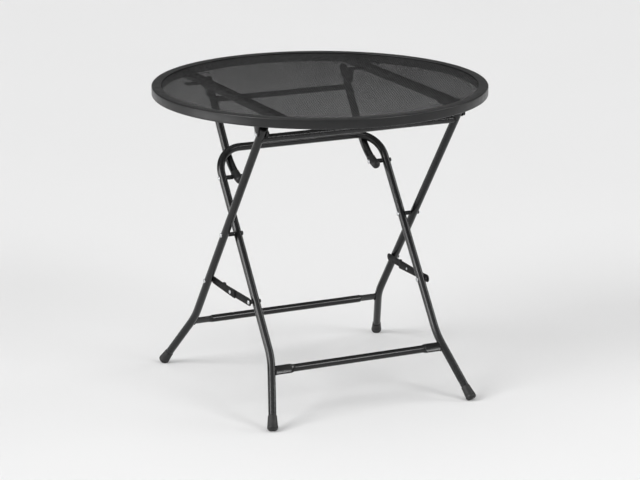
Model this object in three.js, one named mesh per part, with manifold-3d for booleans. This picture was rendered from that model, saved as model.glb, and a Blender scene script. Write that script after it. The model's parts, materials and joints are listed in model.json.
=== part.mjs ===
// A folding side table: a round mesh top on two pairs of crossed tube legs, set up for use.
// Lengths are millimetres. The origin is on the floor under the middle of the top.
// +X runs along the cross bars, +Y from the front of the top to the back, +Z up.

import * as THREE from 'three';
import { mergeVertices } from 'three/addons/utils/BufferGeometryUtils.js';
import Module from 'manifold-3d';

const wasm = await Module();
wasm.setup();

// Clearance between neighbouring pieces
const GAP = 0.3;

// Round top
const TOP_RADIUS = 381;
const TOP_HEIGHT = 706.5;
const RIM_WIDTH = 22;
const RIM_DEPTH = 22;
const RIM_CORNER = 3.5;
const ROUND_SIDES = 64;
const MESH_RECESS = 2.5;
const MESH_THICKNESS = 2.5;

// Rails under the mesh
const RAIL_X = 207.5;
const RAIL_WIDTH = 18;
const RAIL_DEPTH = 17;
const RAIL_CORNER = 2.5;

// Tubes
const TUBE_RADIUS = 9;
const TUBE_SIDES = 16;
const BEND_STEP = 12 * Math.PI / 180;
const CURVE_STEPS = 5;

// Leg frames: both lie in planes that cross at the cross bolts, 3 along for every 4 up.
const CROSS_Y = -5;
const CROSS_Z = 378.5;
const LEG_RUN = 0.6;
const LEG_RISE = 0.8;
const OUTER_X = 240;
const INNER_X = 208;
const FLOOR_DISTANCE = -CROSS_Z / LEG_RISE;
const KNEE_DISTANCE = -304.4;
const KNEE_RADIUS = 200;
const OUTER_FOOT_X = 285.4;
const INNER_FOOT_X = 250.3;
const OUTER_END_DISTANCE = 364;
const INNER_BOW_DISTANCE = 210.2;
const INNER_BOW_RADIUS = 61;
const TOP_BAR_DISTANCE = 329.5;

// Lower cross bars, flattened at both ends
const OUTER_LOWER_DISTANCE = -321.5;
const INNER_LOWER_DISTANCE = -333.5;
const LOWER_BAR_RADIUS = 8.7;
const FLAT_LENGTH = 38;
const FLAT_BLEND = 10;
const FLAT_HALF_WIDTH = 10.8;
const FLAT_HALF_THICKNESS = 3.2;

// Rubber feet, measured along the leg from its floor point
const FOOT_SOLE = 5;
const FOOT_LENGTH = 34;
const FOOT_RADIUS = 12.3;
const FOOT_NECK_RADIUS = 10.4;
const FOOT_CHAMFER = 4;
const FOOT_BORE_START = 12;

// Pivots, as points in the side view
const FRONT_PIVOT_DISTANCE = 346.5;
const ARM_PIVOT_DISTANCE = 138;
const REAR_PIVOT = { y: 222, z: 662 };
const OUTER_STAY_DISTANCE = -166.25;
const INNER_STAY_DISTANCE = -166.5;
const STAY_MIDDLE = { y: -5, z: 243 };

// Fasteners
const SHANK_RADIUS = 3;
const HEAD_RADIUS = 4.8;
const HEAD_HEIGHT = 2.6;
const NUT_RADIUS = 5.2;
const NUT_HEIGHT = 3;
const NUT_TIP = 0.8;
const FRONT_NUT_RADIUS = 6.4;
const FRONT_NUT_HEIGHT = 4.6;
const FRONT_NUT_TIP = 1.4;
const BOLT_SIDES = 12;
const HEX_SIDES = 6;
const SPACER_RADIUS = 4.8;
const ARM_SPACER_RADIUS = 5.2;
const STAY_SHANK_RADIUS = 2.4;
const STAY_HEAD_RADIUS = 5;
const STAY_TAIL_RADIUS = 4.4;
const STAY_RIVET_HEIGHT = 1.4;

// Support arms
const ARM_X = 173.5;
const ARM_TOP = { y: 239.7, z: 683.8 };
const ARM_BEND_START = { y: 139.9, z: 541.3 };
const ARM_BEND_RADIUS = 145;
const ARM_BEND_ANGLE = 42 * Math.PI / 180;
const ARM_CAP_RADIUS = 9.9;
const ARM_CAP_ANGLE = 14.5 * Math.PI / 180;
const ARM_CAP_WALL = 2;
const ARM_BAR = { y: 203.5, z: 644.5 };
const ARM_BAR_RADIUS = 6.5;

// Brackets
const FRONT_EAR_INNER = 228;
const FRONT_EAR_OUTER = 252;
const FRONT_EAR_THICKNESS = 2.5;
const FRONT_EAR_RADIUS = 7.4;
const FRONT_PLATE_LENGTH = 32;
const REAR_PLATE_X = 182.9;
const REAR_PLATE_THICKNESS = 3;
const REAR_PLATE_RADIUS = 12.5;
const REAR_FLANGE_END = 238;
const BRACKET_THICKNESS = 3;

// Folding stays
const STAY_HALF_WIDTH = 8.7;
const STAY_THICKNESS = 2.5;
const STAY_INNER_X = 223;
const STAY_OUTER_X = 225.8;
const STAY_INNER_OVERRUN = 42;
const STAY_OUTER_OVERRUN = 25;
const STAY_TAB_LENGTH = 8;
const STAY_TAB_THICKNESS = 1.6;
const STAY_TAB_REACH = 5.6;
const STAY_TAB_RISE = 2.4;

// Materials
const BLACK_PAINT = { color: 0x2b2b2c, roughness: 0.5, metalness: 0.35 };
const MESH_PAINT = { color: 0x343435, roughness: 0.55, metalness: 0.35 };
const RUBBER = { color: 0x121212, roughness: 0.85, metalness: 0 };
const PLASTIC = { color: 0x161616, roughness: 0.6, metalness: 0 };
const ZINC = { color: 0xb9bbbd, roughness: 0.3, metalness: 0.9 };
const DARK_STEEL = { color: 0x222223, roughness: 0.45, metalness: 0.7 };

const SIDES = [{ name: 'left', sign: -1 }, { name: 'right', sign: 1 }];

const railTop = TOP_HEIGHT - MESH_RECESS - MESH_THICKNESS - GAP;
const railBottom = railTop - RAIL_DEPTH;
const bracketTop = railBottom - GAP;
const rimInnerRadius = TOP_RADIUS - RIM_WIDTH;

const table = new THREE.Group();
table.name = 'folding_side_table';

function addGroup(name) {
  const group = new THREE.Group();
  group.name = name;
  table.add(group);
  return group;
}

function addMesh(group, name, geometry, look) {
  const mesh = new THREE.Mesh(geometry, new THREE.MeshStandardMaterial(look));
  mesh.name = name;
  group.add(mesh);
  return mesh;
}

// A point on a leg. The distance runs up the leg from the cross bolt.
// The lean is -1 for the outer legs, which lean forward, and 1 for the inner ones.
function legPoint(x, distance, lean) {
  return new THREE.Vector3(x, CROSS_Y + lean * LEG_RUN * distance, CROSS_Z + LEG_RISE * distance);
}

const FRONT_PIVOT = legPoint(0, FRONT_PIVOT_DISTANCE, -1);
const ARM_PIVOT = legPoint(0, ARM_PIVOT_DISTANCE, 1);
const OUTER_STAY = legPoint(0, OUTER_STAY_DISTANCE, -1);
const INNER_STAY = legPoint(0, INNER_STAY_DISTANCE, 1);

// ---- Solid helpers

function toManifold(geometry) {
  const bare = geometry.clone();
  bare.deleteAttribute('normal');
  bare.deleteAttribute('uv');
  const merged = mergeVertices(bare);
  return new wasm.Manifold(new wasm.Mesh({
    numProp: 3,
    vertProperties: new Float32Array(merged.attributes.position.array),
    triVerts: new Uint32Array(merged.index.array),
  }));
}

function fromManifold(solid) {
  const mesh = solid.getMesh();
  const geometry = new THREE.BufferGeometry();
  geometry.setAttribute('position', new THREE.BufferAttribute(new Float32Array(mesh.vertProperties), 3));
  geometry.setIndex(new THREE.BufferAttribute(new Uint32Array(mesh.triVerts), 1));
  const flat = geometry.toNonIndexed();
  flat.computeVertexNormals();
  return flat;
}

function joined(...geometries) {
  return fromManifold(geometries.map(toManifold).reduce((whole, piece) => whole.add(piece)));
}

function without(geometry, ...cutters) {
  const start = toManifold(geometry);
  return fromManifold(cutters.map(toManifold).reduce((whole, cutter) => whole.subtract(cutter), start));
}

function common(geometry, other) {
  return fromManifold(toManifold(geometry).intersect(toManifold(other)));
}

// A closed profile or one that starts and ends on the axis, turned about an axis along X.
// Its points are [x, radius], and x grows along the outside.
function turned(profile, sides = BOLT_SIDES) {
  const points = profile.map(([along, radius]) => new THREE.Vector2(radius, along));
  return new THREE.LatheGeometry(points, sides).rotateZ(-Math.PI / 2);
}

function rodAlongX(from, to, radius, sides = BOLT_SIDES) {
  return turned([[from, 0], [from, radius], [to, radius], [to, 0]], sides);
}

function ringAlongX(from, to, radius, boreRadius) {
  return turned([[from, boreRadius], [from, radius], [to, radius], [to, boreRadius], [from, boreRadius]]);
}

function rodAt(point, from, to, radius) {
  return rodAlongX(from, to, radius).translate(0, point.y, point.z);
}

// A flat plate across X: the outline is drawn in Y and Z.
function plate(outline, from, to) {
  const flat = new THREE.ExtrudeGeometry(outline, {
    depth: to - from, bevelEnabled: false, curveSegments: CURVE_STEPS,
  });
  const toSideView = new THREE.Matrix4().makeBasis(
    new THREE.Vector3(0, 1, 0), new THREE.Vector3(0, 0, 1), new THREE.Vector3(1, 0, 0));
  return flat.applyMatrix4(toSideView).translate(from, 0, 0);
}

// A block from one corner to the opposite one
function block(low, high) {
  const size = high.map((value, axis) => value - low[axis]);
  const middle = high.map((value, axis) => (value + low[axis]) / 2);
  return new THREE.BoxGeometry(...size).translate(...middle);
}

function roundedRectangle(xLow, xHigh, yLow, yHigh, corner, steps) {
  const centres = [[xHigh, yLow, -1, 1], [xHigh, yHigh, -1, -1], [xLow, yHigh, 1, -1], [xLow, yLow, 1, 1]];
  const points = [];
  centres.forEach(([x, y, inX, inY], quarter) => {
    for (let k = 0; k <= steps; k += 1) {
      const angle = (quarter - 1 + k / steps) * Math.PI / 2;
      points.push(new THREE.Vector2(
        x + corner * (inX + Math.cos(angle)), y + corner * (inY + Math.sin(angle))));
    }
  });
  return points;
}

// ---- Tubes

// A path that passes through every station, with the tube square to it at each one
class StationPath extends THREE.Curve {
  constructor(stations) {
    super();
    this.stations = stations;
  }

  getPointAt(along) {
    return this.stations[Math.round(along * (this.stations.length - 1))].clone();
  }

  getTangentAt(along) {
    const last = this.stations.length - 1;
    const index = Math.round(along * last);
    const before = this.stations[Math.max(index - 1, 0)];
    const here = this.stations[index];
    const after = this.stations[Math.min(index + 1, last)];
    const arriving = here.clone().sub(before).normalize();
    const leaving = after.clone().sub(here).normalize();
    return arriving.add(leaving).normalize();
  }
}

// Stations of straight runs between corners, each corner rounded by its bend radius
function bentPath(corners, bendRadii) {
  const stations = [corners[0]];
  for (let i = 1; i < corners.length - 1; i += 1) {
    const radius = bendRadii[i - 1];
    const inward = corners[i].clone().sub(corners[i - 1]).normalize();
    const onward = corners[i + 1].clone().sub(corners[i]).normalize();
    const turn = inward.angleTo(onward);
    const toCentre = onward.clone().addScaledVector(inward, -onward.dot(inward)).normalize();
    const start = corners[i].clone().addScaledVector(inward, -radius * Math.tan(turn / 2));
    const steps = Math.ceil(turn / BEND_STEP);
    for (let k = 0; k <= steps; k += 1) {
      const angle = turn * k / steps;
      stations.push(start.clone()
        .addScaledVector(inward, radius * Math.sin(angle))
        .addScaledVector(toCentre, radius * (1 - Math.cos(angle))));
    }
  }
  stations.push(corners[corners.length - 1]);
  return stations;
}

function tube(stations, radius, sides = TUBE_SIDES) {
  const circle = [];
  for (let k = 0; k < sides; k += 1) {
    const angle = 2 * Math.PI * (k + 0.5) / sides;
    circle.push(new THREE.Vector2(radius * Math.cos(angle), radius * Math.sin(angle)));
  }
  return new THREE.ExtrudeGeometry(new THREE.Shape(circle), {
    steps: stations.length - 1, extrudePath: new StationPath(stations),
  });
}

// ---- Leg frames

function outerLegStations(sign) {
  return bentPath([
    legPoint(sign * OUTER_X, OUTER_END_DISTANCE, -1),
    legPoint(sign * OUTER_X, KNEE_DISTANCE, -1),
    legPoint(sign * OUTER_FOOT_X, FLOOR_DISTANCE, -1),
  ], [KNEE_RADIUS]);
}

function innerFrameStations() {
  return bentPath([
    legPoint(-INNER_FOOT_X, FLOOR_DISTANCE, 1),
    legPoint(-INNER_X, KNEE_DISTANCE, 1),
    legPoint(-INNER_X, INNER_BOW_DISTANCE, 1),
    legPoint(INNER_X, INNER_BOW_DISTANCE, 1),
    legPoint(INNER_X, KNEE_DISTANCE, 1),
    legPoint(INNER_FOOT_X, FLOOR_DISTANCE, 1),
  ], [KNEE_RADIUS, INNER_BOW_RADIUS, INNER_BOW_RADIUS, KNEE_RADIUS]);
}

// The same path stopped short inside the foot at each end that stands on the floor
function trimmedEnd(stations, fromStart) {
  const trimmed = stations.map((station) => station.clone());
  const end = fromStart ? trimmed[0] : trimmed[trimmed.length - 1];
  const next = fromStart ? trimmed[1] : trimmed[trimmed.length - 2];
  end.addScaledVector(next.clone().sub(end).normalize(), FOOT_BORE_START + GAP);
  return trimmed;
}

function boltHole(point, centreX, radius) {
  return rodAt(point, centreX - 2 * TUBE_RADIUS, centreX + 2 * TUBE_RADIUS, radius + GAP);
}

// A bell-shaped foot around the end of a leg, cut level with the floor
function footGeometry(floorPoint, legDirection) {
  const boreRadius = TUBE_RADIUS + GAP;
  const top = FOOT_SOLE + FOOT_LENGTH;
  const profile = [
    [FOOT_SOLE, 0],
    [FOOT_SOLE, FOOT_RADIUS - FOOT_CHAMFER],
    [FOOT_SOLE + FOOT_CHAMFER, FOOT_RADIUS],
    [FOOT_SOLE + 0.3 * FOOT_LENGTH, FOOT_RADIUS - 0.3],
    [FOOT_SOLE + 0.55 * FOOT_LENGTH, FOOT_NECK_RADIUS + 0.7],
    [FOOT_SOLE + 0.75 * FOOT_LENGTH, FOOT_NECK_RADIUS],
    [top - 1, FOOT_NECK_RADIUS],
    [top, FOOT_NECK_RADIUS - 0.7],
    [top, boreRadius],
    [FOOT_BORE_START, boreRadius],
    [FOOT_BORE_START, 0],
  ];
  const turnToLeg = new THREE.Quaternion().setFromUnitVectors(new THREE.Vector3(1, 0, 0), legDirection);
  const bell = turned(profile, TUBE_SIDES)
    .applyQuaternion(turnToLeg)
    .translate(floorPoint.x, floorPoint.y, floorPoint.z);
  const reach = 3 * FOOT_RADIUS;
  const underFloor = block(
    [floorPoint.x - reach, floorPoint.y - reach, -reach], [floorPoint.x + reach, floorPoint.y + reach, 0]);
  return without(bell, underFloor);
}

function addFoot(group, name, footX, kneeX, lean) {
  const floorPoint = legPoint(footX, FLOOR_DISTANCE, lean);
  const direction = legPoint(kneeX, KNEE_DISTANCE, lean).sub(floorPoint).normalize();
  addMesh(group, name, footGeometry(floorPoint, direction), RUBBER);
}

// A bar along X whose ends are pressed flat in the plane of its frame and shaped to the legs
function flattenedBar(halfLength, distance, lean, legs) {
  const flatStart = halfLength - FLAT_LENGTH;
  const levels = [-halfLength, -flatStart, FLAT_BLEND - flatStart, flatStart - FLAT_BLEND, flatStart, halfLength];
  const bar = new THREE.CylinderGeometry(1, 1, 1, TUBE_SIDES, levels.length - 1);
  const position = bar.attributes.position;
  for (let i = 0; i < position.count; i += 1) {
    const level = Math.round((position.getY(i) + 0.5) * (levels.length - 1));
    const isRound = level === 2 || level === 3;
    const inPlane = isRound ? LOWER_BAR_RADIUS : FLAT_HALF_WIDTH;
    const acrossPlane = isRound ? LOWER_BAR_RADIUS : FLAT_HALF_THICKNESS;
    const across = position.getX(i) * acrossPlane;
    const along = position.getZ(i) * inPlane;
    position.setXYZ(i, levels[level], across, along);
  }
  const lift = new THREE.Vector3(0, lean * LEG_RUN, LEG_RISE);
  const outOfPlane = new THREE.Vector3(0, -LEG_RISE, lean * LEG_RUN);
  const mirrored = new THREE.Matrix4().makeBasis(new THREE.Vector3(1, 0, 0), outOfPlane, lift);
  bar.applyMatrix4(mirrored);
  const middle = legPoint(0, distance, lean);
  bar.translate(middle.x, middle.y, middle.z);
  return without(bar, ...legs);
}

// ---- Fasteners

// A bolt along X with a domed head that faces -X. Its shank runs from the head to the tip.
function boltGeometry(headFace, tip, headRadius, shankRadius, headHeight = HEAD_HEIGHT) {
  return turned([
    [headFace - headHeight, 0],
    [headFace - headHeight, 0.45 * headRadius],
    [headFace - 0.75 * headHeight, 0.78 * headRadius],
    [headFace - 0.35 * headHeight, headRadius],
    [headFace, headRadius],
    [headFace, shankRadius],
    [tip, shankRadius],
    [tip, 0],
  ]);
}

function nutGeometry(from, height, acrossRadius, boreRadius) {
  const outline = new THREE.Shape();
  const hole = new THREE.Path();
  for (let k = 0; k < HEX_SIDES; k += 1) {
    const angle = 2 * Math.PI * k / HEX_SIDES;
    outline[k === 0 ? 'moveTo' : 'lineTo'](acrossRadius * Math.cos(angle), acrossRadius * Math.sin(angle));
  }
  hole.absarc(0, 0, boreRadius, 0, 2 * Math.PI, true);
  outline.holes.push(hole);
  return plate(outline, from, from + height);
}

// A bolt and nut through a pivot. The head is on the -X side, the nut on the +X side.
function addBoltAndNut(group, boltName, nutName, point, headFace, nutFace) {
  const tip = nutFace + NUT_HEIGHT + NUT_TIP;
  const bolt = addMesh(group, boltName, boltGeometry(headFace, tip, HEAD_RADIUS, SHANK_RADIUS), ZINC);
  bolt.position.set(0, point.y, point.z);
  const nut = addMesh(
    group, nutName, nutGeometry(nutFace, NUT_HEIGHT, NUT_RADIUS, SHANK_RADIUS + GAP), DARK_STEEL);
  nut.position.set(0, point.y, point.z);
}

function addSpacer(group, name, point, from, to, radius) {
  const low = Math.min(from, to) + GAP;
  const high = Math.max(from, to) - GAP;
  const spacer = addMesh(group, name, ringAlongX(low, high, radius, SHANK_RADIUS + GAP), ZINC);
  spacer.position.set(0, point.y, point.z);
}

// ---- Outer legs

const crossPoint = legPoint(0, 0, 1);
const outerLegs = addGroup('outer_legs');

function outerLegCutter(sign) {
  return tube(outerLegStations(sign), TUBE_RADIUS + GAP);
}

for (const { name, sign } of SIDES) {
  const leg = without(
    tube(trimmedEnd(outerLegStations(sign), false), TUBE_RADIUS),
    boltHole(crossPoint, sign * OUTER_X, SHANK_RADIUS),
    boltHole(OUTER_STAY, sign * OUTER_X, STAY_SHANK_RADIUS));
  addMesh(outerLegs, `outer_leg_${name}`, leg, BLACK_PAINT);
  addFoot(outerLegs, `foot_outer_${name}`, sign * OUTER_FOOT_X, sign * OUTER_X, -1);
}

const outerCutters = SIDES.map(({ sign }) => outerLegCutter(sign));
const topBarCentre = legPoint(0, TOP_BAR_DISTANCE, -1);
const topBar = without(
  rodAlongX(-OUTER_X, OUTER_X, TUBE_RADIUS, TUBE_SIDES).translate(0, topBarCentre.y, topBarCentre.z),
  ...outerCutters);
addMesh(outerLegs, 'outer_top_bar', topBar, BLACK_PAINT);
addMesh(outerLegs, 'outer_lower_bar',
  flattenedBar(OUTER_X, OUTER_LOWER_DISTANCE, -1, outerCutters), BLACK_PAINT);

for (const { name, sign } of SIDES) {
  const outerFace = OUTER_X + TUBE_RADIUS + GAP;
  const innerFace = INNER_X - TUBE_RADIUS - GAP;
  const headFace = sign < 0 ? -outerFace : innerFace;
  const nutFace = sign < 0 ? -innerFace : outerFace;
  addBoltAndNut(outerLegs, `cross_bolt_${name}`, `cross_nut_${name}`, crossPoint, headFace, nutFace);
  addSpacer(outerLegs, `cross_spacer_${name}`, crossPoint,
    sign * (INNER_X + TUBE_RADIUS), sign * (OUTER_X - TUBE_RADIUS), SPACER_RADIUS);
}

// ---- Inner legs

const innerLegs = addGroup('inner_legs');
const innerHoles = SIDES.flatMap(({ sign }) => [
  boltHole(crossPoint, sign * INNER_X, SHANK_RADIUS),
  boltHole(ARM_PIVOT, sign * INNER_X, SHANK_RADIUS),
  boltHole(INNER_STAY, sign * INNER_X, STAY_SHANK_RADIUS),
]);
const innerTube = tube(trimmedEnd(trimmedEnd(innerFrameStations(), true), false), TUBE_RADIUS);
addMesh(innerLegs, 'inner_frame', without(innerTube, ...innerHoles), BLACK_PAINT);
addMesh(innerLegs, 'inner_lower_bar',
  flattenedBar(INNER_X, INNER_LOWER_DISTANCE, 1, [tube(innerFrameStations(), TUBE_RADIUS + GAP)]), BLACK_PAINT);

for (const { name, sign } of SIDES) {
  addFoot(innerLegs, `foot_inner_${name}`, sign * INNER_FOOT_X, sign * INNER_X, 1);
  const outerFace = INNER_X + TUBE_RADIUS + GAP;
  const innerFace = ARM_X - ARM_CAP_RADIUS - GAP;
  const headFace = sign < 0 ? -outerFace : innerFace;
  const nutFace = sign < 0 ? -innerFace : outerFace;
  addBoltAndNut(innerLegs, `arm_bolt_${name}`, `arm_nut_${name}`, ARM_PIVOT, headFace, nutFace);
  addSpacer(innerLegs, `arm_spacer_${name}`, ARM_PIVOT,
    sign * (ARM_X + ARM_CAP_RADIUS), sign * (INNER_X - TUBE_RADIUS), ARM_SPACER_RADIUS);
}

// ---- Folding stays

// A flat link from its leg pivot past the middle rivet, drawn with the leg pivot at the origin.
// The end of its overrun is square, or carries the stop tab.
function linkOutline(length, overrun, hasTab) {
  const outline = new THREE.Shape();
  outline.absarc(0, 0, STAY_HALF_WIDTH, Math.PI / 2, 3 * Math.PI / 2, false);
  outline.lineTo(length + overrun - 2, -STAY_HALF_WIDTH);
  outline.lineTo(length + overrun, -STAY_HALF_WIDTH + 2);
  if (hasTab) {
    const tabTop = STAY_HALF_WIDTH + STAY_TAB_RISE + STAY_TAB_THICKNESS;
    outline.lineTo(length + overrun, tabTop);
    outline.lineTo(length + overrun - STAY_TAB_LENGTH, tabTop);
    outline.lineTo(length + overrun - STAY_TAB_LENGTH - 3, STAY_HALF_WIDTH);
  } else {
    outline.lineTo(length + overrun, STAY_HALF_WIDTH - 2);
    outline.lineTo(length + overrun - 2, STAY_HALF_WIDTH);
  }
  for (const centre of [0, length]) {
    const hole = new THREE.Path();
    hole.absarc(centre, 0, STAY_SHANK_RADIUS + GAP, 0, 2 * Math.PI, true);
    outline.holes.push(hole);
  }
  return outline;
}

for (const { name, sign } of SIDES) {
  const span = (from, to) => [Math.min(sign * from, sign * to), Math.max(sign * from, sign * to)];

  // Outer link, pivoting on the outer leg
  const outerLink = addGroup(`stay_outer_${name}`);
  const backwards = Math.atan2(STAY_MIDDLE.z - OUTER_STAY.z, STAY_MIDDLE.y - OUTER_STAY.y);
  const outerLength = Math.hypot(STAY_MIDDLE.z - OUTER_STAY.z, STAY_MIDDLE.y - OUTER_STAY.y);
  const outerBar = addMesh(outerLink, `stay_outer_link_${name}`,
    plate(linkOutline(outerLength, STAY_OUTER_OVERRUN, false),
      ...span(STAY_OUTER_X, STAY_OUTER_X + STAY_THICKNESS)), BLACK_PAINT);
  outerBar.position.set(0, OUTER_STAY.y, OUTER_STAY.z);
  outerBar.rotation.x = backwards;

  // Inner link, pivoting on the inner leg, with a stop tab over the outer link's top edge
  const innerLink = addGroup(`stay_inner_${name}`);
  const forwards = Math.atan2(STAY_MIDDLE.z - INNER_STAY.z, STAY_MIDDLE.y - INNER_STAY.y);
  const innerLength = Math.hypot(STAY_MIDDLE.z - INNER_STAY.z, STAY_MIDDLE.y - INNER_STAY.y);
  const innerPlate = plate(
    linkOutline(innerLength, STAY_INNER_OVERRUN, true),
    ...span(STAY_INNER_X, STAY_INNER_X + STAY_THICKNESS));
  const [tabLow, tabHigh] = span(STAY_INNER_X, STAY_INNER_X + STAY_TAB_REACH);
  const tabBottom = STAY_HALF_WIDTH + STAY_TAB_RISE;
  const tab = block(
    [tabLow, innerLength + STAY_INNER_OVERRUN - STAY_TAB_LENGTH, tabBottom],
    [tabHigh, innerLength + STAY_INNER_OVERRUN, STAY_HALF_WIDTH + STAY_TAB_RISE + STAY_TAB_THICKNESS]);
  const innerBar = addMesh(innerLink, `stay_inner_link_${name}`, joined(innerPlate, tab), BLACK_PAINT);
  innerBar.position.set(0, INNER_STAY.y, INNER_STAY.z);
  innerBar.rotation.x = forwards;

  // The middle rivet, as a half in each link, so that neither crosses to the other
  const outerHalf = [STAY_OUTER_X + STAY_THICKNESS + GAP, STAY_OUTER_X + GAP];
  const innerHalf = [STAY_INNER_X - GAP, STAY_INNER_X + STAY_THICKNESS - GAP];
  for (const [group, label, [face, end], outwards] of [
    [outerLink, 'outer', outerHalf, 1], [innerLink, 'inner', innerHalf, -1],
  ]) {
    const rivet = turned([
      [-STAY_RIVET_HEIGHT, 0], [-STAY_RIVET_HEIGHT, 0.6 * STAY_TAIL_RADIUS],
      [-0.5 * STAY_RIVET_HEIGHT, STAY_TAIL_RADIUS],
      [0, STAY_TAIL_RADIUS], [0, STAY_SHANK_RADIUS],
      [Math.abs(face - end), STAY_SHANK_RADIUS], [Math.abs(face - end), 0],
    ]);
    if (sign * outwards > 0) {
      rivet.rotateZ(Math.PI);
    }
    addMesh(group, `stay_rivet_${label}_${name}`, rivet, ZINC)
      .position.set(sign * face, STAY_MIDDLE.y, STAY_MIDDLE.z);
  }

  // Rivets on the legs: a shouldered one on the outer leg, a plain one on the inner leg
  const outerLegFace = OUTER_X + TUBE_RADIUS + GAP;
  const shoulderStart = OUTER_X - TUBE_RADIUS - GAP;
  const shoulderEnd = STAY_OUTER_X + STAY_THICKNESS + GAP;
  const tailFace = STAY_OUTER_X - GAP;
  const shouldered = turned([
    [-outerLegFace - HEAD_HEIGHT, 0],
    [-outerLegFace - HEAD_HEIGHT, 0.5 * STAY_HEAD_RADIUS],
    [-outerLegFace - 0.5 * HEAD_HEIGHT, STAY_HEAD_RADIUS],
    [-outerLegFace, STAY_HEAD_RADIUS],
    [-outerLegFace, STAY_SHANK_RADIUS],
    [-shoulderStart, STAY_SHANK_RADIUS],
    [-shoulderStart, STAY_HEAD_RADIUS],
    [-shoulderEnd, STAY_HEAD_RADIUS],
    [-shoulderEnd, STAY_SHANK_RADIUS],
    [-tailFace, STAY_SHANK_RADIUS],
    [-tailFace, STAY_TAIL_RADIUS],
    [-tailFace + 0.8, STAY_TAIL_RADIUS],
    [-tailFace + 1.6, 0.6 * STAY_TAIL_RADIUS],
    [-tailFace + 1.6, 0],
  ]);
  const innerLegFace = INNER_X - TUBE_RADIUS - GAP;
  const linkFace = STAY_INNER_X + STAY_THICKNESS + GAP;
  const plain = turned([
    [-linkFace - 2.2, 0],
    [-linkFace - 2.2, 0.5 * STAY_HEAD_RADIUS],
    [-linkFace - 1.1, STAY_HEAD_RADIUS],
    [-linkFace, STAY_HEAD_RADIUS],
    [-linkFace, STAY_SHANK_RADIUS],
    [-STAY_INNER_X + GAP, STAY_SHANK_RADIUS],
    [-STAY_INNER_X + GAP, STAY_HEAD_RADIUS],
    [-INNER_X - TUBE_RADIUS - GAP, STAY_HEAD_RADIUS],
    [-INNER_X - TUBE_RADIUS - GAP, STAY_SHANK_RADIUS],
    [-innerLegFace, STAY_SHANK_RADIUS],
    [-innerLegFace, STAY_HEAD_RADIUS],
    [-innerLegFace + 1.8, STAY_HEAD_RADIUS],
    [-innerLegFace + 3.2, 0.6 * STAY_HEAD_RADIUS],
    [-innerLegFace + 3.2, 0],
  ]);
  if (sign > 0) {
    shouldered.rotateZ(Math.PI);
    plain.rotateZ(Math.PI);
  }
  addMesh(outerLegs, `outer_stay_rivet_${name}`, shouldered, ZINC)
    .position.set(0, OUTER_STAY.y, OUTER_STAY.z);
  addMesh(innerLegs, `inner_stay_rivet_${name}`, plain, ZINC)
    .position.set(0, INNER_STAY.y, INNER_STAY.z);
}

// ---- Support arms

const arms = addGroup('arms');

// Where the arm's axis is after turning through part of its lower bend
function armBendPoint(x, turnedAngle) {
  const straight = new THREE.Vector3(
    0, ARM_BEND_START.y - ARM_TOP.y, ARM_BEND_START.z - ARM_TOP.z).normalize();
  const toCentre = new THREE.Vector3(0, straight.z, -straight.y);
  return new THREE.Vector3(x, ARM_BEND_START.y, ARM_BEND_START.z)
    .addScaledVector(straight, ARM_BEND_RADIUS * Math.sin(turnedAngle))
    .addScaledVector(toCentre, ARM_BEND_RADIUS * (1 - Math.cos(turnedAngle)));
}

function armBend(x, fromAngle, toAngle) {
  const steps = Math.ceil((toAngle - fromAngle) / (BEND_STEP / 2));
  const stations = [];
  for (let k = 0; k <= steps; k += 1) {
    stations.push(armBendPoint(x, fromAngle + (toAngle - fromAngle) * k / steps));
  }
  return stations;
}

for (const { name, sign } of SIDES) {
  const x = sign * ARM_X;
  const top = new THREE.Vector3(x, ARM_TOP.y, ARM_TOP.z);
  const wallAngle = ARM_CAP_WALL / ARM_BEND_RADIUS;
  const armEnd = ARM_BEND_ANGLE - wallAngle - GAP / ARM_BEND_RADIUS;
  const armStations = [top, ...armBend(x, 0, armEnd)];
  const rearHole = boltHole(REAR_PIVOT, x, SHANK_RADIUS);
  const pivotHole = boltHole(ARM_PIVOT, x, SHANK_RADIUS);
  const roundEnd = new THREE.SphereGeometry(TUBE_RADIUS, TUBE_SIDES, TUBE_SIDES / 2)
    .translate(x, ARM_TOP.y, ARM_TOP.z);
  const arm = without(joined(tube(armStations, TUBE_RADIUS), roundEnd), rearHole, pivotHole);
  addMesh(arms, `arm_${name}`, arm, BLACK_PAINT);

  const capStart = ARM_BEND_ANGLE - ARM_CAP_ANGLE;
  const capBore = tube(
    armBend(x, capStart - GAP / ARM_CAP_RADIUS, ARM_BEND_ANGLE - wallAngle), TUBE_RADIUS + GAP);
  const cap = without(tube(armBend(x, capStart, ARM_BEND_ANGLE), ARM_CAP_RADIUS), capBore, pivotHole);
  addMesh(arms, `arm_cap_${name}`, cap, PLASTIC);

  const outerFace = REAR_PLATE_X + REAR_PLATE_THICKNESS + GAP;
  const innerFace = ARM_X - TUBE_RADIUS - GAP;
  const headFace = sign < 0 ? -outerFace : innerFace;
  const nutFace = sign < 0 ? -innerFace : outerFace;
  addBoltAndNut(arms, `rear_bolt_${name}`, `rear_nut_${name}`, REAR_PIVOT, headFace, nutFace);
}

const armTubes = SIDES.map(({ sign }) => {
  const x = sign * ARM_X;
  return tube([new THREE.Vector3(x, ARM_TOP.y, ARM_TOP.z), armBendPoint(x, 0)], TUBE_RADIUS + GAP);
});
const armBar = without(
  rodAlongX(-ARM_X, ARM_X, ARM_BAR_RADIUS).translate(0, ARM_BAR.y, ARM_BAR.z), ...armTubes);
addMesh(arms, 'arm_cross_bar', armBar, BLACK_PAINT);

// ---- Table top

const top = addGroup('table_top');

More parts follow.
